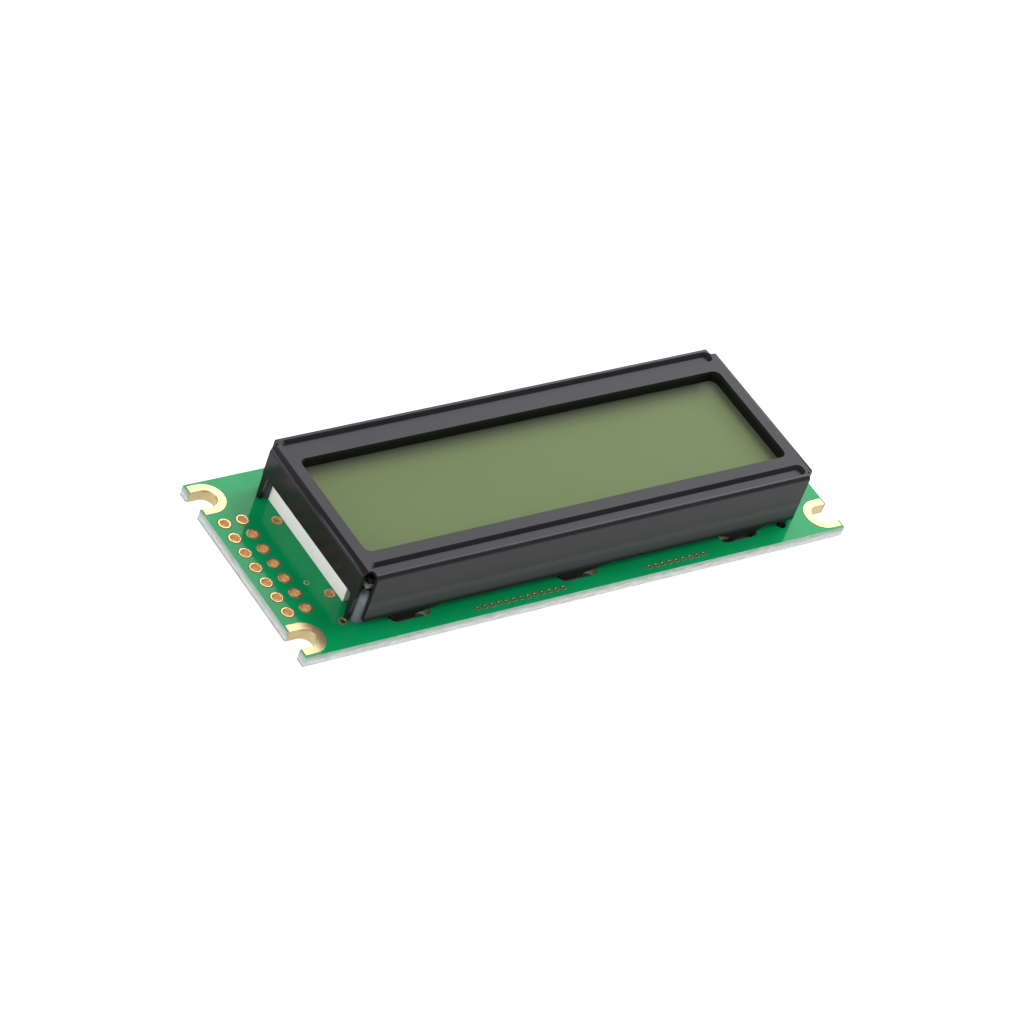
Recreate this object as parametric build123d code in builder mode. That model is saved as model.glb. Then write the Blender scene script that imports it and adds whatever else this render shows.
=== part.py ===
"""Character display module: a glass display cell clamped to a circuit board by a folded steel bezel.

Millimetres, +Z up. The origin is the centre of the board's outline, on the plane that the tips of
the bezel's twisted tabs rest on. The connector end of the board points along -X.
"""
import os
from math import radians, tan

from build123d import *

# Circuit board
board_length = 81.0
board_width = 29.7
board_thickness = 1.5
plate = 0.05  # copper and gold that stands proud of the board and lines its holes
pad_sides = 16  # pads and linings are many-sided outside, and round inside
lining_sides = 12
lining_turn = 180 / lining_sides  # the linings' flats face the board's edges

# Board that shows round the bezel: at the connector end, at the far end and along each side
connector_margin = 7.97
far_margin = 5.53
side_margin = 2.6

# Corner notches, open to the short edges
notch_end_inset = 1.67  # from the board's short edge to the centre of a notch's round end
notch_side_inset = 2.85
notch_radius = 1.42
notch_pad_radius = 2.5
notch_pad_edge_gap = 0.25

# Connector holes: two columns along Y, beside the left edge
header_inset = 3.0
header_pitch = 2.54
header_columns = 2
header_rows = 7
header_hole_radius = 0.575
header_pad_radius = 0.88

# Supply holes of the backlight, and the single holes near the bezel's front corners
supply_inset = 0.41  # behind the outside of the bezel's left wall
supply_spacing = 12.7
supply_hole_radius = 0.5
supply_pad_radius = 0.7
locating_gap = 0.39  # in front of the bezel's left wall
locating_side_inset = 1.42
locating_hole_radius = 0.36
locating_pad_radius = 0.56
signal_via_gap = 1.44  # in front of the bezel's left wall
signal_via_y = -3.98
via_radius = 0.4
via_sides = 6
edge_via_inset = 1.15
edge_via_pitch = 1.055
edge_via_rows = ((-9.6, 13), (13.94, 9))  # centre of a row from the middle slot, and its count

# Folded bezel
bezel_rise = 8.0  # from the board's top to the bezel's face
sheet = 0.5
long_bend = 0.6
short_bend = 0.8
long_wall_gap = 0.75
short_wall_height = 4.25
corner_cut_x = 1.35
corner_cut_y = 1.3
corner_cut_radius = 0.35
window_end_border = 2.175
window_side_border = 4.175
window_radius = 1.0
groove_inset = 1.595  # from the outside of a long wall to the middle of its stiffening groove
groove_width = 1.75
groove_depth = 0.4
groove_end_gap = 0.1
groove_radius = 0.7
groove_slope = 45

# Twisted tabs of the long walls, in slots of the board
slot_left_inset = 8.34  # from the bezel's ends to the centres of the outer slots
slot_right_inset = 9.66
slot_length = 5.8
slot_width = 1.8
tab_shifts = (-1.05, -1.05, 0.8)
tab_width = 3.5
tab_shoulders = ((2.1, 5.3), (2.1, 5.3), (4.2, 3.2))  # reach to the left and right of each tab's middle
tab_drop = 1.4  # below the board, which carries the module when it lies on a table
tab_neck_drop = 0.15
tab_twist = 40
leg_inset = 2.77
leg_width = 1.0
leg_hole_radius = 0.75

# Display cell, from the window down
window_depth = 1.7  # from the bezel's face to the front polariser
polariser = 0.2
pane = 0.7
cell_gap = 0.1
glass_end_gap = 0.4  # from the front glass to the inside of the bezel's walls
glass_side_gap = 0.45
contact_ledge = 2.0  # each long edge of the front glass reaches past the rear glass by this much
seal_width = 1.0
seal_inset = 0.2
polariser_inset = 0.35
gasket_end_gap = 0.45
gasket_side_gap = 0.25
film = 0.2

# Elastomer strips that join the cell to the board
strip_width = 1.5
strip_gap = 0.2

# Light guide, its cover and its lamps
seat_gap = 0.1
cover_inset = 0.72
cover_thickness = 0.9
cover_y = 0.95
cover_end_inset = 0.35
lamp_depth = 1.0
lamp_length = 3.0
lamp_height = 1.5
lamp_pitch = 6.0
lamp_gap = 0.05
post_radius = 0.8
ear_length = 1.0

# Parts on the board's underside
blob_profile = ((0.0, 6.5), (0.6, 6.0), (1.0, 4.9), (1.2, 3.0))  # depth below the board, and radius
blob_pitch = 28.0
chip_row_inset = 2.6  # clear of the tabs' turned ends
resistor_size = (2.0, 1.25, 0.5)
resistor_pitch = 3.4
resistor_count = 5
resistor_row_shift = -9.22
capacitor_size = (2.0, 1.25, 0.9)
capacitor_pitch = 3.6
capacitor_count = 3
capacitor_row_shift = 14.78

# Lengths and widths that follow from the sizes above
bezel_left = -board_length / 2 + connector_margin
bezel_right = board_length / 2 - far_margin
bezel_length = bezel_right - bezel_left
bezel_width = board_width - 2 * side_margin
display_x = (bezel_left + bezel_right) / 2
window_length = bezel_length - 2 * window_end_border
window_width = bezel_width - 2 * window_side_border
groove_offset = bezel_width / 2 - groove_inset
notch_x = board_length / 2 - notch_end_inset
notch_y = board_width / 2 - notch_side_inset
header_x = -board_length / 2 + header_inset
supply_x = bezel_left + supply_inset
locating_hole = (bezel_left - locating_gap, -bezel_width / 2 + locating_side_inset)
signal_via = (bezel_left - signal_via_gap, signal_via_y)
edge_via_y = -board_width / 2 + edge_via_inset
leg_x = bezel_right - leg_inset
front_glass_length = bezel_length - 2 * (sheet + glass_end_gap)
front_glass_width = bezel_width - 2 * (sheet + glass_side_gap)
rear_glass_width = front_glass_width - 2 * contact_ledge
gasket_length = bezel_length - 2 * (sheet + gasket_end_gap)
gasket_width = bezel_width - 2 * (sheet + gasket_side_gap)
cover_length = rear_glass_width - 2 * cover_end_inset

# Heights and edges that follow in turn
board_bottom = tab_drop
board_top = board_bottom + board_thickness
bezel_top = board_top + bezel_rise
wall_bottom = board_top + long_wall_gap
bezel_inner_left = bezel_left + sheet
bezel_inner_right = bezel_right - sheet
bezel_inner_side = bezel_width / 2 - sheet
front_polariser_top = bezel_top - window_depth
front_glass_top = front_polariser_top - polariser
front_glass_bottom = front_glass_top - pane
rear_glass_top = front_glass_bottom - cell_gap
rear_glass_bottom = rear_glass_top - pane
rear_polariser_bottom = rear_glass_bottom - polariser
guide_top = rear_polariser_bottom - film
guide_bottom = board_top + film
slot_y = bezel_width / 2 - sheet / 2
slot_left = bezel_left + slot_left_inset
slot_right = bezel_right - slot_right_inset
slot_middle = (slot_left + slot_right) / 2
slot_spots = [(x, slot_y) for x in (slot_left, slot_middle, slot_right)]
chip_y = slot_y - chip_row_inset
tab_spots = [x + shift for (x, _), shift in zip(slot_spots, tab_shifts)]
strip_y = rear_glass_width / 2 + strip_gap + strip_width / 2

cover_left = bezel_inner_left + cover_inset
guide_left = cover_left + cover_thickness + lamp_depth + 2 * lamp_gap
guide_right = bezel_inner_right - seat_gap
guide_side = bezel_inner_side - seat_gap
post_x = bezel_inner_left + seat_gap + post_radius
post_y = guide_side - post_radius

header_spots = [
    (
        header_x + (column - (header_columns - 1) / 2) * header_pitch,
        (row - (header_rows - 1) / 2) * header_pitch,
    )
    for column in range(header_columns)
    for row in range(header_rows)
]
supply_spots = [(supply_x, -supply_spacing / 2), (supply_x, supply_spacing / 2)]
via_spots = [signal_via] + [
    (slot_middle + shift + (i - (count - 1) / 2) * edge_via_pitch, edge_via_y)
    for shift, count in edge_via_rows
    for i in range(count)
]
os.makedirs("parts", exist_ok=True)


def save(builder, name):
    """Label a finished piece and write its file."""
    builder.part.label = name
    export_step(builder.part, f"parts/{name}.step")


def notch_outline(end, side, radius, reach, mode=Mode.ADD):
    """Draw one corner notch or its pad: a round inner end, with straight sides out to `reach` along X."""
    x = end * notch_x
    y = side * notch_y
    with BuildLine() as outline:
        sides = Polyline(
            (x, y + radius),
            (end * reach, y + radius),
            (end * reach, y - radius),
            (x, y - radius),
        )
        ThreePointArc(sides @ 1, (x - end * radius, y), sides @ 0)
    make_face(outline.edges(), mode=mode)


def plated_holes(name, spots, hole_radius, pad_radius):
    """Make the barrels of a set of plated holes: a lining, with a flat ring on each face of the board."""
    with BuildPart() as barrels:
        for base, outer_radius, sides, turn, height in (
            (board_bottom - plate, pad_radius, pad_sides, 0, plate),
            (board_bottom, hole_radius + plate, lining_sides, lining_turn, board_thickness),
            (board_top, pad_radius, pad_sides, 0, plate),
        ):
            with BuildSketch(Plane.XY.offset(base)):
                with Locations(*spots):
                    RegularPolygon(outer_radius, sides, rotation=turn)
                    Circle(hole_radius, mode=Mode.SUBTRACT)
            extrude(amount=height)
    save(barrels, name)


def slab(name, length, width, bottom, height, x=display_x):
    """Make a flat rectangular piece, centred on the display unless `x` says otherwise."""
    with BuildPart() as flat:
        with BuildSketch(Plane.XY.offset(bottom)):
            with Locations((x, 0)):
                Rectangle(length, width)
        extrude(amount=height)
    save(flat, name)


# Circuit board, with its notches, plated holes and tab slots
with BuildPart() as circuit_board:
    with BuildSketch(Plane.XY.offset(board_bottom)):
        Rectangle(board_length, board_width)
        for end in (-1, 1):
            for side in (-1, 1):
                notch_outline(end, side, notch_radius + plate, board_length / 2 + notch_radius, Mode.SUBTRACT)
        for spots, hole_radius in (
            (header_spots, header_hole_radius),
            (supply_spots, supply_hole_radius),
            ([locating_hole], locating_hole_radius),
        ):
            with Locations(*spots):
                RegularPolygon(hole_radius + plate, lining_sides, rotation=lining_turn, mode=Mode.SUBTRACT)
        with Locations(*via_spots):
            RegularPolygon(via_radius, via_sides, mode=Mode.SUBTRACT)
        with Locations((leg_x, -slot_y)):
            Circle(leg_hole_radius, mode=Mode.SUBTRACT)
        for side in (-1, 1):
            with Locations(*[(x, side * y) for x, y in slot_spots]):
                SlotOverall(slot_length, slot_width, mode=Mode.SUBTRACT)
    extrude(amount=board_thickness)
save(circuit_board, "circuit_board")

# Plating of the four corner notches
for end, end_name in ((-1, "left"), (1, "right")):
    for side, side_name in ((-1, "front"), (1, "back")):
        pad_end = board_length / 2 - notch_pad_edge_gap
        with BuildPart() as notch_plating:
            for base, outer_radius, height in (
                (board_bottom - plate, notch_pad_radius, plate),
                (board_bottom, notch_radius + plate, board_thickness),
                (board_top, notch_pad_radius, plate),
            ):
                with BuildSketch(Plane.XY.offset(base)):
                    notch_outline(end, side, outer_radius, pad_end)
                    notch_outline(end, side, notch_radius, pad_end, Mode.SUBTRACT)
                extrude(amount=height)
        save(notch_plating, f"notch_plating_{side_name}_{end_name}")

plated_holes("header_barrels", header_spots, header_hole_radius, header_pad_radius)
plated_holes("supply_barrels", supply_spots, supply_hole_radius, supply_pad_radius)
plated_holes("locating_barrel", [locating_hole], locating_hole_radius, locating_pad_radius)

# Vias, plugged flush with their pads
with BuildPart() as via_plugs:
    with BuildSketch(Plane.XY.offset(board_bottom - plate)):
        with Locations(*via_spots):
            RegularPolygon(via_radius, via_sides)
    extrude(amount=board_thickness + 2 * plate)
save(via_plugs, "via_plugs")

# Bezel: a folded sheet with a window, two pressed grooves, short end walls and long walls with tabs
long_wall_length = bezel_length - 2 * corner_cut_x
short_wall_length = bezel_width - 2 * corner_cut_y
bezel_depth = bezel_top - wall_bottom
bead_growth = sheet * tan(radians(groove_slope / 2))  # a groove's underside is this much wider each way

with BuildPart() as bezel_inside:
    with BuildSketch(Plane.XY.offset(wall_bottom)):
        with Locations((display_x, 0)):
            Rectangle(bezel_length - 2 * sheet, bezel_width - 2 * sheet)
    extrude(amount=bezel_depth - sheet)
    inside_top = bezel_inside.faces().sort_by(Axis.Z)[-1].edges()
    fillet(inside_top.filter_by(Axis.X), long_bend - sheet)

with BuildPart() as bezel:
    with BuildSketch(Plane.XY.offset(wall_bottom)):
        with Locations((display_x, 0)):
            Rectangle(bezel_length, bezel_width)
    extrude(amount=bezel_depth)
    fillet(bezel.faces().sort_by(Axis.Z)[-1].edges().filter_by(Axis.X), long_bend)
    fillet(bezel.faces().sort_by(Axis.Z)[-1].edges().filter_by(Axis.Y), short_bend)
    add(bezel_inside.part, mode=Mode.SUBTRACT)
    # The end walls are shorter than the long walls
    with BuildSketch(Plane.XY.offset(wall_bottom)):
        with Locations((display_x, 0)):
            with GridLocations(bezel_length, 0, 2, 1):
                Rectangle(2 * corner_cut_x, short_wall_length)
    extrude(amount=bezel_depth - short_wall_height, mode=Mode.SUBTRACT)
    # Stiffening grooves, pressed down from the face
    with BuildSketch(Plane.XY.offset(bezel_top - sheet)):
        with Locations((display_x, -groove_offset), (display_x, groove_offset)):
            RectangleRounded(
                long_wall_length - 2 * groove_end_gap,
                groove_width + 2 * bead_growth,
                groove_radius + bead_growth,
            )
    extrude(amount=-groove_depth, taper=groove_slope)
    with BuildSketch(Plane.XY.offset(bezel_top)):
        with Locations((display_x, -groove_offset), (display_x, groove_offset)):
            RectangleRounded(long_wall_length - 2 * groove_end_gap, groove_width, groove_radius)
    extrude(amount=-groove_depth, taper=groove_slope, mode=Mode.SUBTRACT)
    # Open corners, which the grooves stop just short of
    with BuildSketch(Plane.XY.offset(wall_bottom)):
        with Locations((display_x, 0)):
            with GridLocations(bezel_length, bezel_width, 2, 2):
                RectangleRounded(2 * corner_cut_x, 2 * corner_cut_y, corner_cut_radius)
    extrude(amount=bezel_depth, mode=Mode.SUBTRACT)
    # Window
    with BuildSketch(Plane.XY.offset(bezel_top)):
        with Locations((display_x, 0)):
            RectangleRounded(window_length, window_width, window_radius)
    extrude(amount=-sheet, mode=Mode.SUBTRACT)
    # Tabs: a shoulder, a neck through the board's slot, and a turned end that bears on the underside
    for side in (-1, 1):
        for tab_x, (reach_left, reach_right) in zip(tab_spots, tab_shoulders):
            with BuildSketch(Plane.XZ.offset(-side * slot_y - sheet / 2)):
                with BuildLine():
                    Polyline(
                        (tab_x - reach_left, wall_bottom),
                        (tab_x - tab_width / 2, board_top),
                        (tab_x - tab_width / 2, board_bottom - tab_neck_drop),
                        (tab_x + tab_width / 2, board_bottom - tab_neck_drop),
                        (tab_x + tab_width / 2, board_top),
                        (tab_x + reach_right, wall_bottom),
                        close=True,
                    )
                make_face()
            extrude(amount=sheet)
            with BuildSketch(Plane.XY.offset(board_bottom)):
                with Locations(Location((tab_x, side * slot_y), tab_twist)):
                    Rectangle(tab_width, sheet)
            extrude(amount=-board_bottom)
    # Locating leg at the front wall's right end
    with BuildSketch(Plane.XY.offset(board_bottom)):
        with Locations((leg_x, -slot_y)):
            Rectangle(leg_width, sheet)
    extrude(amount=wall_bottom - board_bottom)
save(bezel, "bezel")

# Gasket between the bezel's face and the cell, relieved under the grooves
with BuildPart() as window_gasket:
    with BuildSketch(Plane.XY.offset(front_polariser_top)):
        with Locations((display_x, 0)):
            Rectangle(gasket_length, gasket_width)
            RectangleRounded(window_length, window_width, window_radius, mode=Mode.SUBTRACT)
    extrude(amount=bezel_top - sheet - front_polariser_top)
    groove_side = groove_offset - groove_width / 2 - bead_growth - seat_gap
    relief_width = gasket_width / 2 - groove_side
    relief_y = groove_side + relief_width / 2
    with BuildSketch(Plane.XY.offset(bezel_top - sheet)):
        with Locations((display_x, -relief_y), (display_x, relief_y)):
            Rectangle(gasket_length, relief_width)
    extrude(amount=-groove_depth, mode=Mode.SUBTRACT)
save(window_gasket, "window_gasket")

# Display cell
slab(
    "front_polariser",
    front_glass_length - 2 * polariser_inset,
    front_glass_width - 2 * polariser_inset,
    front_glass_top,
    polariser,
)
slab("front_glass", front_glass_length, front_glass_width, front_glass_bottom, pane)
with BuildPart() as cell_seal:
    with BuildSketch(Plane.XY.offset(rear_glass_top)):
        with Locations((display_x, 0)):
            seal_length = front_glass_length - 2 * seal_inset
            seal_outer_width = rear_glass_width - 2 * seal_inset
            Rectangle(seal_length, seal_outer_width)
            Rectangle(seal_length - 2 * seal_width, seal_outer_width - 2 * seal_width, mode=Mode.SUBTRACT)
    extrude(amount=cell_gap)
save(cell_seal, "cell_seal")
slab("rear_glass", front_glass_length, rear_glass_width, rear_glass_bottom, pane)

# Films under the cell, as long as the light guide's body
film_left = guide_left + seat_gap
film_length = guide_right - film_left - seat_gap
film_x = film_left + film_length / 2
film_width = rear_glass_width - 2 * polariser_inset
slab("rear_polariser", film_length, film_width, rear_polariser_bottom, polariser, x=film_x)
slab("diffuser_film", film_length, film_width, guide_top, film, x=film_x)
slab("reflector_film", film_length, film_width, board_top, film, x=film_x)

# Elastomer strips
strip_left = guide_left + ear_length + seat_gap
strip_right = guide_right - ear_length - seat_gap
for side, name in ((-1, "elastomer_front"), (1, "elastomer_back")):
    with BuildPart() as strip:
        with BuildSketch(Plane.XY.offset(board_top)):
            with Locations(((strip_left + strip_right) / 2, side * strip_y)):
                Rectangle(strip_right - strip_left, strip_width)
        extrude(amount=front_glass_bottom - board_top)
    save(strip, name)

# Light guide: a clear block with an ear at each corner and a round post beside the cover's ends
with BuildPart() as light_guide:
    with BuildSketch(Plane.XY.offset(guide_bottom)):
        with Locations(((guide_left + guide_right) / 2, 0)):
            Rectangle(guide_right - guide_left, rear_glass_width)
    extrude(amount=guide_top - guide_bottom)
    with BuildSketch(Plane.XY.offset(board_top)):
        ear_y = (guide_side + rear_glass_width / 2) / 2
        with Locations((guide_left + ear_length / 2, -ear_y), (guide_left + ear_length / 2, ear_y)):
            Rectangle(ear_length, guide_side - rear_glass_width / 2)
        with Locations((guide_right - ear_length / 2, -ear_y), (guide_right - ear_length / 2, ear_y)):
            Rectangle(ear_length, guide_side - rear_glass_width / 2)
        with Locations((post_x, -post_y), (post_x, post_y)):
            Circle(post_radius)
        arm_x = (post_x + guide_left) / 2
        with Locations((arm_x, -post_y), (arm_x, post_y)):
            Rectangle(guide_left - post_x, 2 * post_radius)
    extrude(amount=front_glass_bottom - board_top)
save(light_guide, "light_guide")

# Cover over the lamps, the white face seen under the bezel's left wall
with BuildPart() as lamp_cover:
    with BuildSketch(Plane.XY.offset(board_top)):
        with Locations((cover_left + cover_thickness / 2, cover_y)):
            Rectangle(cover_thickness, cover_length)
    extrude(amount=rear_glass_bottom - board_top)
save(lamp_cover, "lamp_cover")

lamp_x = cover_left + cover_thickness + lamp_gap + lamp_depth / 2
for i, name in ((-1, "lamp_front"), (0, "lamp_middle"), (1, "lamp_back")):
    with BuildPart() as lamp:
        with BuildSketch(Plane.XY.offset(board_top)):
            with Locations((lamp_x, cover_y + i * lamp_pitch)):
                Rectangle(lamp_depth, lamp_length)
        extrude(amount=lamp_height)
    save(lamp, name)

# Controller chips under domes of resin, on the board's underside
for side, name in ((-1, "chip_blob_left"), (1, "chip_blob_right")):
    blob_x = display_x + side * blob_pitch / 2
    blob_depth = blob_profile[-1][0]
    with BuildPart() as chip_blob:
        with BuildSketch(Plane.XZ):
            with BuildLine():
                Polyline(
                    (blob_x, board_bottom),
                    *[(blob_x + radius, board_bottom - depth) for depth, radius in blob_profile],
                    (blob_x, board_bottom - blob_depth),
                    close=True,
                )
            make_face()
        revolve(axis=Axis((blob_x, 0, 0), (0, 0, 1)))
    save(chip_blob, name)

for name, size, pitch, count, shift in (
    ("chip_resistors", resistor_size, resistor_pitch, resistor_count, resistor_row_shift),
    ("chip_capacitors", capacitor_size, capacitor_pitch, capacitor_count, capacitor_row_shift),
):
    with BuildPart() as chips:
        with BuildSketch(Plane.XY.offset(board_bottom)):
            with Locations((display_x + shift, chip_y)):
                with GridLocations(pitch, 0, count, 1):
                    Rectangle(size[0], size[1])
        extrude(amount=-size[2])
    save(chips, name)
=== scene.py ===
"""Looks for the character display module: materials, pressed bezel, plated holes, floor, light and camera.

Metres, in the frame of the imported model. The origin is the centre of the board's outline on the plane that the module
rests on, with the connector end along -X.
"""
import math

import bmesh
import bpy
from mathutils import Matrix, Vector


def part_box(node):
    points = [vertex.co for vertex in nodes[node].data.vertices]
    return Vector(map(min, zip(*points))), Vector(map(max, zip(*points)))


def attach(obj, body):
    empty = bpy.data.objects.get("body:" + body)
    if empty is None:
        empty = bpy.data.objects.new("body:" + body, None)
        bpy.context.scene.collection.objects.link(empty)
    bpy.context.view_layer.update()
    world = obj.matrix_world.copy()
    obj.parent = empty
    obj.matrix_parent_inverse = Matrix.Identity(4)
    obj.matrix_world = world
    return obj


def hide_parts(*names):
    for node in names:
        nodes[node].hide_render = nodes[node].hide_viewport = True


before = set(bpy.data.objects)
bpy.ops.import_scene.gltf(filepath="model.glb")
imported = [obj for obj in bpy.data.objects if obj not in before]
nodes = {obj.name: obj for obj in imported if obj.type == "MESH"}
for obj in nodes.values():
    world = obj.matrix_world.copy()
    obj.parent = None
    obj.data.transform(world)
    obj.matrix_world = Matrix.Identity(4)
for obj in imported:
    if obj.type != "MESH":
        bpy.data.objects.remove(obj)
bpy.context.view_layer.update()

MM = 0.001

# Heights and places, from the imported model
board_low, board_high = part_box("circuit_board")
bezel_low, bezel_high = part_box("bezel")
face_low, face_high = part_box("front_polariser")
resistor_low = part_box("chip_resistors")[0]
capacitor_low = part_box("chip_capacitors")[0]
board_bottom = board_low[2]
board_top = board_high[2]

# Plated holes
PLATE = 0.05 * MM  # height of a pad above the board
LINING = 0.02 * MM
RELIEF_HEIGHT = 0.004 * MM  # the ring round a pad that the mask leaves free
RELIEF_OVERLAP = 0.01 * MM
HEADER_X = -37.5 * MM
HEADER_PITCH = 2.54 * MM
HEADER_COLUMNS, HEADER_ROWS = 2, 7
HEADER_SPOTS = [
    (
        HEADER_X + (column - (HEADER_COLUMNS - 1) / 2) * HEADER_PITCH,
        (row - (HEADER_ROWS - 1) / 2) * HEADER_PITCH,
    )
    for column in range(HEADER_COLUMNS)
    for row in range(HEADER_ROWS)
]
SUPPLY_SPOTS = [(-32.12 * MM, -6.35 * MM), (-32.12 * MM, 6.35 * MM)]
LOCATING_SPOT = (-32.92 * MM, -10.83 * MM)

# Vias
SIGNAL_VIA = (-33.97 * MM, -3.98 * MM)
SLOT_MIDDLE = 0.56 * MM
EDGE_VIA_Y = -13.7 * MM
EDGE_VIA_PITCH = 1.055 * MM
EDGE_VIA_ROWS = ((-9.6 * MM, 13), (13.94 * MM, 9))  # each row's middle, from the middle slot, and its count
EDGE_VIAS = [
    (SLOT_MIDDLE + shift + (i - (count - 1) / 2) * EDGE_VIA_PITCH, EDGE_VIA_Y)
    for shift, count in EDGE_VIA_ROWS
    for i in range(count)
]
VIA_SIDES = 24

# Chips on the underside
CHIP_LENGTH = 2.0 * MM
RESISTOR_PITCH = 3.4 * MM
CAPACITOR_PITCH = 3.6 * MM
TINNED_END = (0.63 * MM, 0.67 * MM)  # the band, from a chip's middle, where its body turns to tin

# The window, as half its length and half its width
WINDOW_X, WINDOW_Y = 31.575 * MM, 8.075 * MM

# Edges: what is welded or laid flat before they are rounded, and how sharp an edge counts as one
WELD = 0.0005 * MM
FLAT_ANGLE = math.radians(0.3)
EDGE_ANGLE = math.radians(28)
NORMAL_WEIGHT = 100
SOFT_EDGES = {
    "circuit_board": 0.04 * MM,
    "lamp_cover": 0.06 * MM,
    "window_gasket": 0.05 * MM,
    "light_guide": 0.08 * MM,
}
NOTCH_PLATINGS = [f"notch_plating_{side}_{end}" for side in ("front", "back") for end in ("left", "right")]
PLATING_EDGE = 0.02 * MM

# The bezel's grooves
GROOVE_DEPTH = 0.4 * MM  # as packed
GROOVE_DEEPER = 0.15 * MM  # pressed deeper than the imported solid
GROOVE_FLOOR_Y = (9.8 * MM, 11.5 * MM)  # where the middles of the floors' faces lie
GROOVE_BAND_Y = (9.6 * MM, 11.6 * MM)  # where all of a groove's edges lie
GROOVE_REACH = 0.6 * MM  # edges further below the bezel's face aren't a groove's
LEVEL = 0.02 * MM
ON_FACE = 0.001 * MM
FOOT_ROUND = 0.04 * MM
MOUTH_ROUND = 0.17 * MM
SHEET_ROUND = 0.07 * MM

# The narrow legs at the ends of the bezel's left wall, which stand on the board
LEG_OUTSIDE, LEG_INSIDE = 0.005 * MM, 0.48 * MM  # from the wall's outer face
LEG_FOOT = (10.2 * MM, 10.8 * MM)  # the leg's two sides along Y, at the board
LEG_HEAD = (9.95 * MM, 10.94 * MM)  # and at its head, a little above the wall's lower edge
LEG_HEIGHT = 3.95 * MM
LEG_ROUND = 0.05 * MM

# Floor and shade
FLOOR_REACH = 3.0
FLOOR_HEIGHT = -0.00001
FLOOR_GLOW = 0.93
SHADE_X = (31.5 * MM, 33.5 * MM)  # the floor glows beyond these bands, and not under the module
SHADE_Y = (10.6 * MM, 12.2 * MM)
WORLD_LIGHT = 0.45
WHITE = (1.0, 1.0, 1.0, 1.0)


# ---------------------------------------------------------------- shader helpers


class Surface:
    """A material whose nodes are added one call at a time."""

    def __init__(self, name, **sockets):
        self.material = bpy.data.materials.new(name)
        self.material.use_nodes = True
        self.tree = self.material.node_tree
        self.shader = self.tree.nodes["Principled BSDF"]
        for socket, value in sockets.items():
            self.shader.inputs[socket.replace("_", " ")].default_value = value
        self.place = self.node("ShaderNodeTexCoord").outputs["Object"]

    def node(self, kind, **settings):
        made = self.tree.nodes.new(kind)
        for name, value in settings.items():
            setattr(made, name, value)
        return made

    def put(self, socket, value):
        """Link an output to a socket, or set the socket's own value."""
        if isinstance(value, bpy.types.NodeSocket):
            self.tree.links.new(value, socket)
        else:
            socket.default_value = value

    def math(self, operation, *values):
        made = self.node("ShaderNodeMath", operation=operation)
        for socket, value in zip(made.inputs, values):
            self.put(socket, value)
        return made.outputs[0]

    def absolute(self, value):
        return self.math("ABSOLUTE", value)

    def product(self, first, *others):
        for other in others:
            first = self.math("MULTIPLY", first, other)
        return first

    def parts(self, vector=None):
        """The X, Y and Z of a vector, or of the place."""
        made = self.node("ShaderNodeSeparateXYZ")
        self.put(made.inputs[0], vector or self.place)
        return made.outputs

    def facing(self, axis):
        """How far the surface faces along one axis, from -1 to 1."""
        return self.parts(self.node("ShaderNodeNewGeometry").outputs["Normal"])[axis]

    def scaled(self, x, y, z):
        """The place, stretched per axis, for grain that runs one way."""
        made = self.node("ShaderNodeMapping")
        self.put(made.inputs["Vector"], self.place)
        made.inputs["Scale"].default_value = (x, y, z)
        return made.outputs[0]

    def noise(self, scale, detail=3.0, roughness=0.55, vector=None):
        made = self.node("ShaderNodeTexNoise")
        self.put(made.inputs["Vector"], vector or self.place)
        made.inputs["Scale"].default_value = scale
        made.inputs["Detail"].default_value = detail
        made.inputs["Roughness"].default_value = roughness
        return made.outputs["Fac"]

    def span(self, value, low, high, to_low=0.0, to_high=1.0, smooth=False):
        """Map a value from low…high to to_low…to_high, held at both ends."""
        made = self.node("ShaderNodeMapRange")
        if smooth:
            made.interpolation_type = "SMOOTHSTEP"
        for socket, number in zip(made.inputs, (value, low, high, to_low, to_high)):
            self.put(socket, number)
        return made.outputs[0]

    def blend(self, amount, first, second):
        """Go from the first colour to the second as the amount goes from 0 to 1."""
        made = self.node("ShaderNodeMix", data_type="RGBA")
        self.put(made.inputs["Factor"], amount)
        for socket, value in zip((made.inputs[6], made.inputs[7]), (first, second)):
            self.put(socket, value if isinstance(value, bpy.types.NodeSocket) else (*value, 1.0))
        return made.outputs[2]

    def colour(self, value):
        self.put(self.shader.inputs["Base Color"], value)

    def rough(self, value):
        self.put(self.shader.inputs["Roughness"], value)

    def bump(self, height, strength, distance):
        """Add a layer of bump over those that are there."""
        made = self.node("ShaderNodeBump")
        made.inputs["Strength"].default_value = strength
        made.inputs["Distance"].default_value = distance
        self.put(made.inputs["Height"], height)
        normal = self.shader.inputs["Normal"]
        if normal.is_linked:
            self.put(made.inputs["Normal"], normal.links[0].from_socket)
        self.put(normal, made.outputs[0])


def dress(name, surface):
    """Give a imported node's object a material in each of its slots."""
    for slot in nodes[name].material_slots:
        slot.link = "OBJECT"
        slot.material = surface.material


def even_normals(piece):
    smooth = piece.modifiers.new("normals", "WEIGHTED_NORMAL")
    smooth.weight = NORMAL_WEIGHT


def soften(name, width):
    """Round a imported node's sharp edges with modifiers, leaving its mesh as packed."""
    piece = nodes[name]
    weld = piece.modifiers.new("weld", "WELD")
    weld.merge_threshold = WELD
    flat = piece.modifiers.new("flat", "DECIMATE")
    flat.decimate_type = "DISSOLVE"
    flat.angle_limit = FLAT_ANGLE
    bevel = piece.modifiers.new("bevel", "BEVEL")
    bevel.width = width
    bevel.segments = 2
    bevel.limit_method = "ANGLE"
    bevel.angle_limit = EDGE_ANGLE
    bevel.use_clamp_overlap = True
    even_normals(piece)


# ---------------------------------------------------------------- materials


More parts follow.
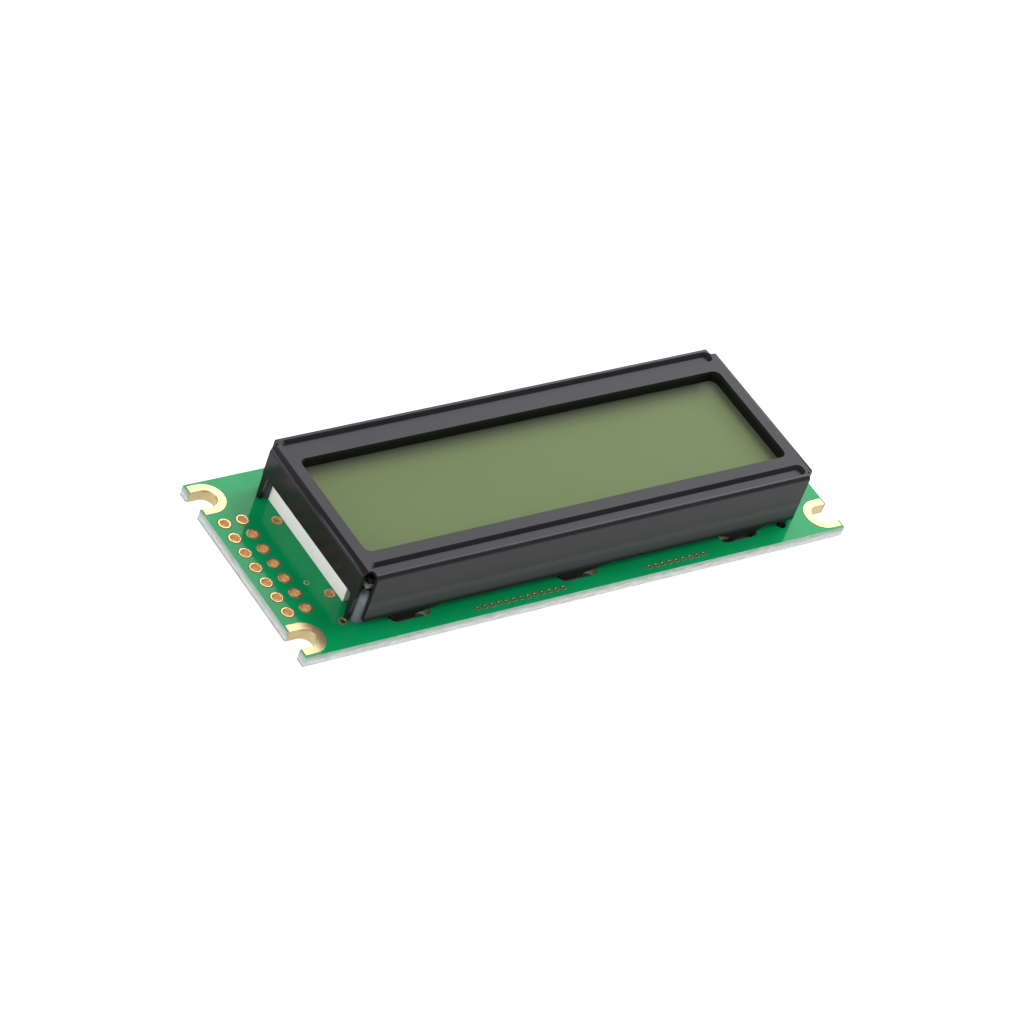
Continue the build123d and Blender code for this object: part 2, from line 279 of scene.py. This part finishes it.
def board_mask(made, cloud, place):
    """The green mask, with the tracks under it as faint slanting stripes."""
    stripe_direction = (0.809, 0.588)
    stripe_pitch = 0.32 * MM
    stripe_strength = 0.22
    mask = made.blend(made.span(cloud, 0.35, 0.7), (0.002, 0.335, 0.105), (0.003, 0.375, 0.122))
    across = made.math(
        "ADD",
        made.product(place["X"], stripe_direction[0]),
        made.product(place["Y"], stripe_direction[1]),
    )
    track = made.span(made.math("PINGPONG", across, stripe_pitch), 0.17 * MM, 0.21 * MM)
    past_header = made.span(place["X"], -35.4 * MM, -35.0 * MM)
    mid_board = made.span(made.absolute(place["Y"]), 8.4 * MM, 8.0 * MM)
    shown = made.product(track, made.product(past_header, mid_board), stripe_strength)
    return made.blend(shown, mask, (0.001, 0.24, 0.07))


def board_edge(made, place):
    """The bare laminate: pale below and greenish above at the board's edges, greener in its holes and darkened there
    with painted shade.
    """
    fibres = made.noise(1500, 5, 0.7, vector=made.scaled(0.4, 0.4, 2.0))
    fibres = made.span(fibres, 0.36, 0.64)
    high = made.span(place["Z"], board_bottom + 0.45 * MM, board_top - 0.25 * MM, smooth=True)
    pale = made.blend(fibres, (0.50, 0.50, 0.50), (0.76, 0.77, 0.76))
    green = made.blend(fibres, (0.26, 0.36, 0.30), (0.44, 0.53, 0.46))
    edge = made.blend(high, pale, green)
    # Painted shade: the left-facing edge is darker, with a darker line along its foot
    foot = made.span(place["Z"], board_bottom + 0.30 * MM, board_bottom + 0.12 * MM)
    painted_foot_shade = made.product(foot, made.span(made.facing("X"), -0.5, -0.8))
    edge = made.blend(painted_foot_shade, edge, (0.27, 0.28, 0.27))
    edge = made.blend(made.span(made.facing("X"), -0.5, -0.9, 0.0, 0.3), edge, (0.27, 0.30, 0.28))
    sides = made.span(made.absolute(place["Y"]), 13.1 * MM, 13.4 * MM)
    ends = made.span(made.absolute(place["X"]), 36.4 * MM, 36.6 * MM)
    outside = made.math("MAXIMUM", sides, ends)
    # Painted shade in the slots: the laminate there is greener and much darker
    slot_wall_and_shade = made.blend(fibres, (0.13, 0.19, 0.10), (0.24, 0.28, 0.17))
    return made.blend(outside, slot_wall_and_shade, edge)


def board_surface():
    made = Surface("solder_mask_and_laminate", IOR=1.27)
    mask_rough, edge_rough, cloud_rough = 0.05, 0.62, 0.05
    place = made.parts()
    masked = made.span(made.absolute(made.facing("Z")), 0.75, 0.95)
    cloud = made.noise(260, 4)
    mask = board_mask(made, cloud, place)
    made.colour(made.blend(masked, board_edge(made, place), mask))
    made.rough(made.math("ADD", made.span(masked, 0.0, 1.0, edge_rough, mask_rough), made.product(cloud, cloud_rough)))
    made.bump(made.noise(1500, 2), 0.06, 0.01 * MM)
    made.bump(made.noise(5200, 3, vector=made.scaled(0.5, 0.5, 2.0)), 0.12, 0.01 * MM)
    return made


def gold_surface():
    made = Surface("immersion_gold", Metallic=0.7, IOR=1.3)
    cloud = made.noise(900, 4)
    made.colour(made.blend(made.span(cloud, 0.3, 0.75), (0.53, 0.41, 0.205), (0.61, 0.48, 0.27)))
    made.rough(made.span(made.noise(2600, 3), 0.3, 0.8, 0.17, 0.25))
    made.bump(made.noise(4200, 3), 0.06, 0.008 * MM)
    return made


def bore_surface():
    """The walls of the plated holes, painted bright orange for the light that goes from side to side in them."""
    made = Surface("plated_bore_painted_light", Metallic=0.35)
    cloud = made.noise(2400, 3)
    # Painted light: the bright orange stands for light bouncing across the hole
    made.colour(made.blend(cloud, (0.86, 0.52, 0.20), (0.94, 0.66, 0.32)))
    made.rough(made.span(cloud, 0.3, 0.8, 0.3, 0.45))
    made.bump(made.noise(5200, 3), 0.25, 0.01 * MM)
    return made


def relief_surface():
    """Bare laminate round a pad, where the mask stops short of it, and the walls of the smallest holes."""
    made = Surface("mask_clearance", IOR=1.5)
    made.colour(made.blend(made.noise(2600, 3), (0.10, 0.11, 0.035), (0.20, 0.20, 0.07)))
    made.rough(made.span(made.noise(1800), 0.3, 0.8, 0.3, 0.55))
    made.bump(made.noise(5000, 2), 0.1, 0.01 * MM)
    return made


def collar_surface():
    """Mask drawn thin over a via's pad, paler than elsewhere because the copper shows through."""
    made = Surface("via_collar", IOR=1.38)
    cloud = made.noise(3200, 3)
    made.colour(made.blend(cloud, (0.20, 0.46, 0.27), (0.34, 0.58, 0.38)))
    made.rough(made.span(cloud, 0.3, 0.8, 0.08, 0.2))
    made.bump(made.noise(6000, 2), 0.15, 0.01 * MM)
    return made


def paint_surface():
    """Black paint, with a painted reflection of the board: a faint lighter band low on the front-facing walls."""
    made = Surface("black_paint", IOR=1.28)
    made.shader.inputs["Specular Tint"].default_value = (1.0, 0.955, 1.0, 1.0)
    cloud = made.noise(120, 4)
    black = made.blend(cloud, (0.012, 0.011, 0.013), (0.019, 0.018, 0.021))
    height = made.parts()["Z"]
    # Painted reflection of the board: a lighter band low on the front-facing walls
    below = made.span(height, board_top + 4.1 * MM, board_top + 2.9 * MM, smooth=True)
    above = made.span(height, board_top + 0.9 * MM, board_top + 1.7 * MM, smooth=True)
    painted_reflection = made.product(below, above, made.span(made.facing("Y"), -0.6, -0.9))
    made.colour(made.blend(painted_reflection, black, (0.062, 0.056, 0.062)))
    grain = made.noise(5200, 3)
    made.rough(made.math("ADD", made.span(cloud, 0.3, 0.7, 0.17, 0.23), made.product(grain, 0.03)))
    made.bump(made.noise(1600, 2), 0.05, 0.02 * MM)
    made.bump(grain, 0.05, 0.008 * MM)
    return made


def gasket_surface():
    made = Surface("black_gasket", IOR=1.3)
    cloud = made.noise(700, 3)
    made.colour(made.blend(cloud, (0.003, 0.003, 0.002), (0.007, 0.007, 0.004)))
    made.rough(made.span(cloud, 0.3, 0.7, 0.42, 0.6))
    made.bump(made.noise(4000, 2), 0.2, 0.01 * MM)
    return made


def face_surface():
    """The display's matte face: an even olive, with painted shade that turns it grey and darker under the window's
    edges, a paler grey close to the right edge.
    """
    made = Surface("display_face", IOR=1.25)
    place = made.parts()
    centre_x = (face_low[0] + face_high[0]) / 2
    from_right = made.math("SUBTRACT", centre_x + WINDOW_X, place["X"])
    from_left = made.math("SUBTRACT", place["X"], centre_x - WINDOW_X)
    from_back = made.math("SUBTRACT", WINDOW_Y, place["Y"])
    from_front = made.math("ADD", place["Y"], WINDOW_Y)
    # Painted shade under the window's edges, widest at the right and back; greyer and paler close to the right edge
    lit = made.product(
        made.span(from_right, -2.6 * MM, 3.6 * MM, smooth=True),
        made.span(from_back, -0.2 * MM, 3.6 * MM, smooth=True),
        made.span(from_left, -1.6 * MM, 0.9 * MM, smooth=True),
        made.span(from_front, -1.6 * MM, 0.9 * MM, smooth=True),
    )
    olive = made.blend(made.noise(90, 3), (0.120, 0.176, 0.056), (0.131, 0.188, 0.064))
    shade = made.blend(made.span(from_right, 0.6 * MM, 3.4 * MM), (0.21, 0.228, 0.165), (0.092, 0.105, 0.066))
    made.colour(made.blend(lit, shade, olive))
    made.rough(made.span(made.noise(3800, 3), 0.3, 0.8, 0.42, 0.5))
    made.bump(made.noise(6500, 2), 0.08, 0.008 * MM)
    return made


def glass_surface():
    made = Surface("cell_glass", IOR=1.52, Transmission_Weight=0.7)
    made.colour(made.blend(made.noise(160), (0.62, 0.74, 0.66), (0.72, 0.82, 0.74)))
    made.rough(made.span(made.noise(500), 0.3, 0.7, 0.03, 0.08))
    return made


def clear_surface():
    """Clear moulded plastic, seen as the round posts at the bezel's open corners, with painted shade: black up under
    the bezel and darker towards the back.
    """
    made = Surface("clear_plastic", IOR=1.4, Transmission_Weight=0.4)
    place = made.parts()
    # Painted shade: black up under the bezel, and darker towards the back
    high = made.span(place["Z"], board_top + 3.6 * MM, board_top + 5.3 * MM, smooth=True)
    body = made.blend(made.noise(320, 2), (0.22, 0.235, 0.275), (0.32, 0.34, 0.39))
    body = made.blend(made.span(place["Y"], -6 * MM, 6 * MM), body, (0.13, 0.15, 0.15))
    made.colour(made.blend(high, body, (0.012, 0.012, 0.012)))
    made.rough(made.span(made.noise(700, 3), 0.3, 0.7, 0.10, 0.2))
    made.bump(made.noise(900, 2, vector=made.scaled(1, 1, 0.15)), 0.12, 0.02 * MM)
    return made


def moulded_surface(name, low, high, rough, scale=900, grain=0.12, ior=1.47):
    """A plain plastic, film or resin, lightly mottled between two colours."""
    made = Surface(name, IOR=ior)
    cloud = made.noise(scale, 4)
    made.colour(made.blend(cloud, low, high))
    made.rough(made.span(cloud, 0.3, 0.7, rough - 0.05, rough + 0.05))
    made.bump(made.noise(scale * 4, 2), grain, 0.01 * MM)
    return made


def elastomer_surface():
    """Thin dark and pale layers side by side, along the strip, between two pale sides."""
    made = Surface("layered_elastomer", IOR=1.42)
    layers = made.math("PINGPONG", made.parts()["X"], 0.06 * MM)
    dark = made.span(layers, 0.02 * MM, 0.035 * MM)
    side = made.span(made.absolute(made.facing("Y")), 0.6, 0.8)
    stripes = made.blend(dark, (0.02, 0.02, 0.022), (0.55, 0.42, 0.40))
    made.colour(made.blend(side, stripes, (0.50, 0.38, 0.37)))
    made.rough(made.span(made.noise(1200), 0.3, 0.7, 0.5, 0.65))
    made.bump(made.noise(2600, 2), 0.15, 0.01 * MM)
    return made


def chip_surface(name, first_x, pitch, body_low, body_high):
    """The body of each chip in a row, with its two tinned ends. The first chip's middle is at first_x."""
    made = Surface(name, IOR=1.5)
    from_middle = made.math("WRAP", made.math("SUBTRACT", made.parts()["X"], first_x), pitch / 2, -pitch / 2)
    end = made.span(made.absolute(from_middle), *TINNED_END)
    cloud = made.noise(2200, 3)
    body = made.blend(cloud, body_low, body_high)
    tin = made.blend(cloud, (0.62, 0.62, 0.60), (0.78, 0.78, 0.76))
    made.colour(made.blend(end, body, tin))
    made.put(made.shader.inputs["Metallic"], end)
    made.rough(made.span(cloud, 0.3, 0.7, 0.28, 0.42))
    made.bump(made.noise(3600, 2), 0.15, 0.01 * MM)
    return made


def lamp_surface():
    """A white case, with yellow phosphor on the face towards the light guide."""
    made = Surface("lamp_body", IOR=1.5)
    front = made.span(made.facing("X"), 0.5, 0.8)
    cloud = made.noise(1500, 3)
    body = made.blend(cloud, (0.78, 0.76, 0.70), (0.86, 0.84, 0.78))
    phosphor = made.blend(cloud, (0.62, 0.66, 0.10), (0.72, 0.74, 0.16))
    made.colour(made.blend(front, body, phosphor))
    made.rough(made.span(cloud, 0.3, 0.7, 0.3, 0.4))
    made.bump(made.noise(3000, 2), 0.1, 0.01 * MM)
    return made


gold = gold_surface()
bore = bore_surface()
relief = relief_surface()
collar = collar_surface()
paint = paint_surface()
glass = glass_surface()
lamp = lamp_surface()
elastomer = elastomer_surface()
white_film = moulded_surface("white_film", (0.82, 0.82, 0.80), (0.88, 0.88, 0.86), 0.5, scale=600)
resin = moulded_surface(
    "black_resin", (0.010, 0.010, 0.011), (0.020, 0.020, 0.022), 0.2, scale=300, grain=0.25, ior=1.53
)
looks = {
    "circuit_board": board_surface(),
    "window_gasket": gasket_surface(),
    "front_polariser": face_surface(),
    "front_glass": glass,
    "rear_glass": glass,
    "cell_seal": moulded_surface("cell_seal", (0.46, 0.46, 0.42), (0.54, 0.54, 0.49), 0.5, scale=700),
    "rear_polariser": moulded_surface("rear_polariser", (0.40, 0.42, 0.36), (0.48, 0.50, 0.44), 0.3, scale=500),
    "diffuser_film": white_film,
    "reflector_film": white_film,
    "light_guide": clear_surface(),
    "lamp_cover": moulded_surface("white_plastic", (0.93, 0.885, 0.89), (0.97, 0.925, 0.93), 0.48),
    "lamp_front": lamp,
    "lamp_middle": lamp,
    "lamp_back": lamp,
    "elastomer_front": elastomer,
    "elastomer_back": elastomer,
    "chip_blob_left": resin,
    "chip_blob_right": resin,
    "chip_resistors": chip_surface(
        "chip_resistor", resistor_low[0] + CHIP_LENGTH / 2, RESISTOR_PITCH, (0.012, 0.012, 0.014), (0.03, 0.03, 0.034)
    ),
    "chip_capacitors": chip_surface(
        "chip_capacitor", capacitor_low[0] + CHIP_LENGTH / 2, CAPACITOR_PITCH, (0.30, 0.19, 0.10), (0.40, 0.27, 0.15)
    ),
}
for name, surface in looks.items():
    dress(name, surface)
for name in NOTCH_PLATINGS:
    dress(name, gold)

for name, width in SOFT_EDGES.items():
    soften(name, width)
for name in NOTCH_PLATINGS:
    soften(name, PLATING_EDGE)


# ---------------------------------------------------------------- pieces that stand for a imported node


def finish_piece(name, bm, surfaces, node):
    """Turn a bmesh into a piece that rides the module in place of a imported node."""
    bmesh.ops.recalc_face_normals(bm, faces=bm.faces)
    mesh = bpy.data.meshes.new(name)
    bm.to_mesh(mesh)
    bm.free()
    piece = bpy.data.objects.new(name, mesh)
    bpy.context.collection.objects.link(piece)
    for surface in surfaces:
        mesh.materials.append(surface.material)
    even_normals(piece)
    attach(piece, "root")
    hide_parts(node)


def between(value, limits):
    return limits[0] < value < limits[1]


def round_off(bm, edges, width, segments):
    bmesh.ops.bevel(
        bm,
        geom=edges,
        offset=width,
        offset_type="OFFSET",
        segments=segments,
        profile=0.5,
        affect="EDGES",
        clamp_overlap=True,
    )


def wall_leg(bm, side):
    """The narrow leg at an end of the left wall, from just inside its lower edge down to the board."""
    outer, inner = bezel_low[0] + LEG_OUTSIDE, bezel_low[0] + LEG_INSIDE
    foot = [(y * side, board_top) for y in LEG_FOOT]
    head = [(y * side, board_top + LEG_HEIGHT) for y in reversed(LEG_HEAD)]
    section = foot + head
    near = [bm.verts.new((outer, y, z)) for y, z in section]
    far = [bm.verts.new((inner, y, z)) for y, z in section]
    faces = [bm.faces.new(near), bm.faces.new(far[::-1])]
    for i in range(len(section)):
        j = (i + 1) % len(section)
        faces.append(bm.faces.new((near[j], near[i], far[i], far[j])))
    bmesh.ops.recalc_face_normals(bm, faces=faces)
    return list(dict.fromkeys(edge for face in faces for edge in face.edges))


def pressed_bezel():
    """The folded sheet with the soft edges that pressing leaves: tight at the grooves' feet, round at their mouths."""
    source = nodes["bezel"]
    top = bezel_high[2]
    bm = bmesh.new()
    bm.from_mesh(source.data)
    bm.transform(source.matrix_world)
    bmesh.ops.remove_doubles(bm, verts=bm.verts, dist=WELD)
    bmesh.ops.dissolve_limit(bm, angle_limit=FLAT_ANGLE, verts=bm.verts, edges=bm.edges)

    def is_groove_floor(face):
        level = all(abs(vert.co.z - top + GROOVE_DEPTH) < LEVEL for vert in face.verts)
        return face.normal.z > 0.9 and level and between(abs(face.calc_center_median().y), GROOVE_FLOOR_Y)

    feet = {vert for face in bm.faces if is_groove_floor(face) for vert in face.verts}
    for vert in feet:
        vert.co.z -= GROOVE_DEEPER

    def is_foot(edge):
        return all(vert in feet for vert in edge.verts)

    def is_groove(edge):
        return all(between(abs(vert.co.y), GROOVE_BAND_Y) for vert in edge.verts)

    def is_mouth(edge):
        return is_groove(edge) and all(abs(vert.co.z - top) < ON_FACE for vert in edge.verts)

    def is_elsewhere(edge):
        height = sum(vert.co.z for vert in edge.verts) / 2
        return not is_groove(edge) or abs(height - top) > GROOVE_REACH

    for test, width, segments in (
        (is_foot, FOOT_ROUND, 2),
        (is_mouth, MOUTH_ROUND, 4),
        (is_elsewhere, SHEET_ROUND, 3),
    ):
        sharp = [e for e in bm.edges if len(e.link_faces) == 2 and e.calc_face_angle() > EDGE_ANGLE]
        round_off(bm, [edge for edge in sharp if test(edge)], width, segments)
    for side in (-1, 1):
        round_off(bm, wall_leg(bm, side), LEG_ROUND, 2)
    for face in bm.faces:
        face.smooth = True
    finish_piece("pressed_bezel", bm, (paint,), "bezel")


def lathe(bm, centre, profile, sides, slots):
    """Turn a closed profile of (radius, height) points about an upright axis, with a material slot for each side."""
    rings = []
    for i in range(sides):
        angle = 2 * math.pi * i / sides
        across, along = math.cos(angle), math.sin(angle)
        rings.append([bm.verts.new((centre[0] + r * across, centre[1] + r * along, h)) for r, h in profile])
    for i in range(sides):
        here, there = rings[i], rings[(i + 1) % sides]
        for j, slot in enumerate(slots):
            k = (j + 1) % len(profile)
            quad = bm.faces.new((here[j], there[j], there[k], here[k]))
            quad.smooth = True
            quad.material_index = slot


def rounded(before, corner, after, radius, steps=3):
    """Points of a small round that replaces a corner of a profile."""
    corner = Vector(corner)
    start = (Vector(before) - corner).normalized() * radius
    end = (Vector(after) - corner).normalized() * radius
    return [tuple(corner + start * (1 - i / steps) ** 2 + end * (i / steps) ** 2) for i in range(steps + 1)]


def barrel_profile(hole, pad):
    """The section of one plated hole: a pad on each face of the board and the lining between them."""
    mouth_round, pad_round = 0.06 * MM, 0.02 * MM
    top, low = board_top + PLATE, board_bottom - PLATE
    corners = [
        ((hole, low), mouth_round),
        ((hole, top), mouth_round),
        ((pad, top), pad_round),
        ((pad, board_top), 0),
        ((hole + LINING, board_top), 0),
        ((hole + LINING, board_bottom), 0),
        ((pad, board_bottom), 0),
        ((pad, low), pad_round),
    ]
    profile = []
    for i, (corner, radius) in enumerate(corners):
        if radius:
            before, after = corners[i - 1][0], corners[(i + 1) % len(corners)][0]
            profile += rounded(before, corner, after, radius)
        else:
            profile.append(corner)
    return profile


def barrel_piece(name, spots, node, inside, hole, pad, clear, sides):
    """Plated holes of one size, by the radii of hole and pad, each pad in a ring of bare laminate of width clear."""
    plated, bare, lined = range(3)
    profile = barrel_profile(hole, pad)
    on_hole = [abs(radius - hole) < 0.0001 * MM for radius, _ in profile]
    slots = [lined if here and there else plated for here, there in zip(on_hole, on_hole[1:] + on_hole[:1])]
    bm = bmesh.new()
    for spot in spots:
        lathe(bm, spot, profile, sides, slots)
        for side, height in ((1, board_top), (-1, board_bottom)):
            inner, outer, raised = pad - RELIEF_OVERLAP, pad + clear, height + side * RELIEF_HEIGHT
            ring = [(inner, height), (outer, height), (outer, raised), (inner, raised)]
            lathe(bm, spot, ring, sides, [bare] * len(ring))
    finish_piece(name, bm, (gold, relief, inside), node)


def via_profile(hole, bare):
    """The section of one via, from its hole outwards: a bare ring, then a low collar, the same on both faces."""
    top, middle = board_top + PLATE, (board_top + board_bottom) / 2
    mouth_drop, mouth_width = 0.03 * MM, 0.03 * MM
    ring_drop, lip_width = 0.01 * MM, 0.02 * MM
    collar_top, collar_drop = 0.33 * MM, 0.005 * MM
    collar_foot, foot_height = 0.395 * MM, 0.003 * MM
    sunk, sunk_depth = 0.34 * MM, 0.01 * MM  # below the board's face, so that no edge floats
    half = [
        (hole, top - mouth_drop),
        (hole + mouth_width, top - ring_drop),
        (bare, top - ring_drop),
        (bare + lip_width, top),
        (collar_top, top - collar_drop),
        (collar_foot, board_top + foot_height),
        (sunk, board_top - sunk_depth),
    ]
    return half + [(radius, 2 * middle - height) for radius, height in reversed(half)]


def via_piece():
    """Vias, each a bare ring with a fine hole through it, in a low collar of mask."""
    plated, masked, dull = range(3)
    signal_face = [dull, dull, masked, masked, masked, masked]  # from the hole outwards
    edge_face = [dull, plated, dull, dull, dull, masked]
    bm = bmesh.new()
    for spots, hole, bare, face in (
        ([SIGNAL_VIA], 0.13 * MM, 0.20 * MM, signal_face),
        (EDGE_VIAS, 0.11 * MM, 0.18 * MM, edge_face),
    ):
        slots = face + [masked] + face[::-1] + [dull]
        for spot in spots:
            lathe(bm, spot, via_profile(hole, bare), VIA_SIDES, slots)
    finish_piece("via_rings", bm, (gold, collar, relief), "via_plugs")


pressed_bezel()
barrel_piece(
    "header_rings", HEADER_SPOTS, "header_barrels", bore, hole=0.575 * MM, pad=0.81 * MM, clear=0.11 * MM, sides=48
)
barrel_piece(
    "supply_rings", SUPPLY_SPOTS, "supply_barrels", bore, hole=0.5 * MM, pad=0.7 * MM, clear=0.10 * MM, sides=40
)
# The locating hole's wall takes the dark bare-laminate colour, as painted shade
barrel_piece(
    "locating_ring",
    [LOCATING_SPOT],
    "locating_barrel",
    relief,
    hole=0.36 * MM,
    pad=0.54 * MM,
    clear=0.08 * MM,
    sides=36,
)
via_piece()


# ---------------------------------------------------------------- floor, light and camera


def floor_surface():
    """White that glows all round the module and is dark under it, so that the board's slots look down on shade."""
    made = Surface("floor_white")
    made.colour(made.blend(made.noise(6, 2), (0.30, 0.30, 0.30), (0.32, 0.32, 0.32)))
    made.rough(0.9)
    made.shader.inputs["Specular IOR Level"].default_value = 0.0
    made.shader.inputs["Emission Color"].default_value = WHITE
    place = made.parts()
    beside = made.span(made.absolute(place["X"]), *SHADE_X, smooth=True)
    before = made.span(made.absolute(place["Y"]), *SHADE_Y, smooth=True)
    made.put(made.shader.inputs["Emission Strength"], made.product(made.math("MAXIMUM", beside, before), FLOOR_GLOW))
    return made


floor_mesh = bpy.data.meshes.new("floor")
floor_corners = [(x * FLOOR_REACH, y * FLOOR_REACH, FLOOR_HEIGHT) for x, y in ((-1, -1), (1, -1), (1, 1), (-1, 1))]
floor_mesh.from_pydata(floor_corners, [], [(0, 1, 2, 3)])
floor_mesh.materials.append(floor_surface().material)
floor = bpy.data.objects.new("floor", floor_mesh)
bpy.context.collection.objects.link(floor)

world = bpy.data.worlds.new("studio")
bpy.context.scene.world = world
world.use_nodes = True
background = world.node_tree.nodes["Background"]
background.inputs["Color"].default_value = WHITE
background.inputs["Strength"].default_value = WORLD_LIGHT


def soft_box(name, place, size, radiance):
    """A square soft box that faces the object, given by where it stands, its side and its brightness."""
    light = bpy.data.lights.new(name, "AREA")
    light.shape = "SQUARE"
    light.size = size
    light.energy = radiance * math.pi * size**2
    box = bpy.data.objects.new(name, light)
    box.location = place
    box.rotation_mode = "QUATERNION"
    box.rotation_quaternion = (-Vector(place)).to_track_quat("-Z", "Y")
    bpy.context.collection.objects.link(box)


soft_box("back_box", (0.41, 0.275, 0.335), 0.47, 3.1)
soft_box("main_box", (0.30, 0.055, 0.453), 0.26, 5.4)
soft_box("side_box", (0.528, -0.21, 0.20), 0.3, 2.6)
soft_box("left_box", (-0.6, 0.1, 0.10), 0.4, 3.9)
soft_box("front_box", (-0.15, -0.6, 0.14), 0.35, 1.3)

# The camera stands where the photograph was taken from: a least-squares fit to the holes and edges
EYE = Vector((-303.229, -285.179, 350.201)) * MM
RIGHT = Vector((0.80947301, -0.51685742, 0.27858905))
UP = Vector((0.18524129, 0.67504265, 0.714145))
BACK = Vector((-0.55717064, -0.5264749, 0.64217214))
FOCAL_PIXELS = 4434.8
FRAME_PIXELS = 1024
camera_data = bpy.data.cameras.new("camera")
camera_data.sensor_width = 36.0
camera_data.lens = FOCAL_PIXELS / FRAME_PIXELS * camera_data.sensor_width
camera_data.clip_start, camera_data.clip_end = 0.01, 10.0
camera = bpy.data.objects.new("camera", camera_data)
camera.matrix_world = Matrix.Translation(EYE) @ Matrix((RIGHT, UP, BACK)).transposed().to_4x4()
bpy.context.collection.objects.link(camera)
bpy.context.scene.camera = camera
bpy.context.scene.view_settings.view_transform = "Standard"
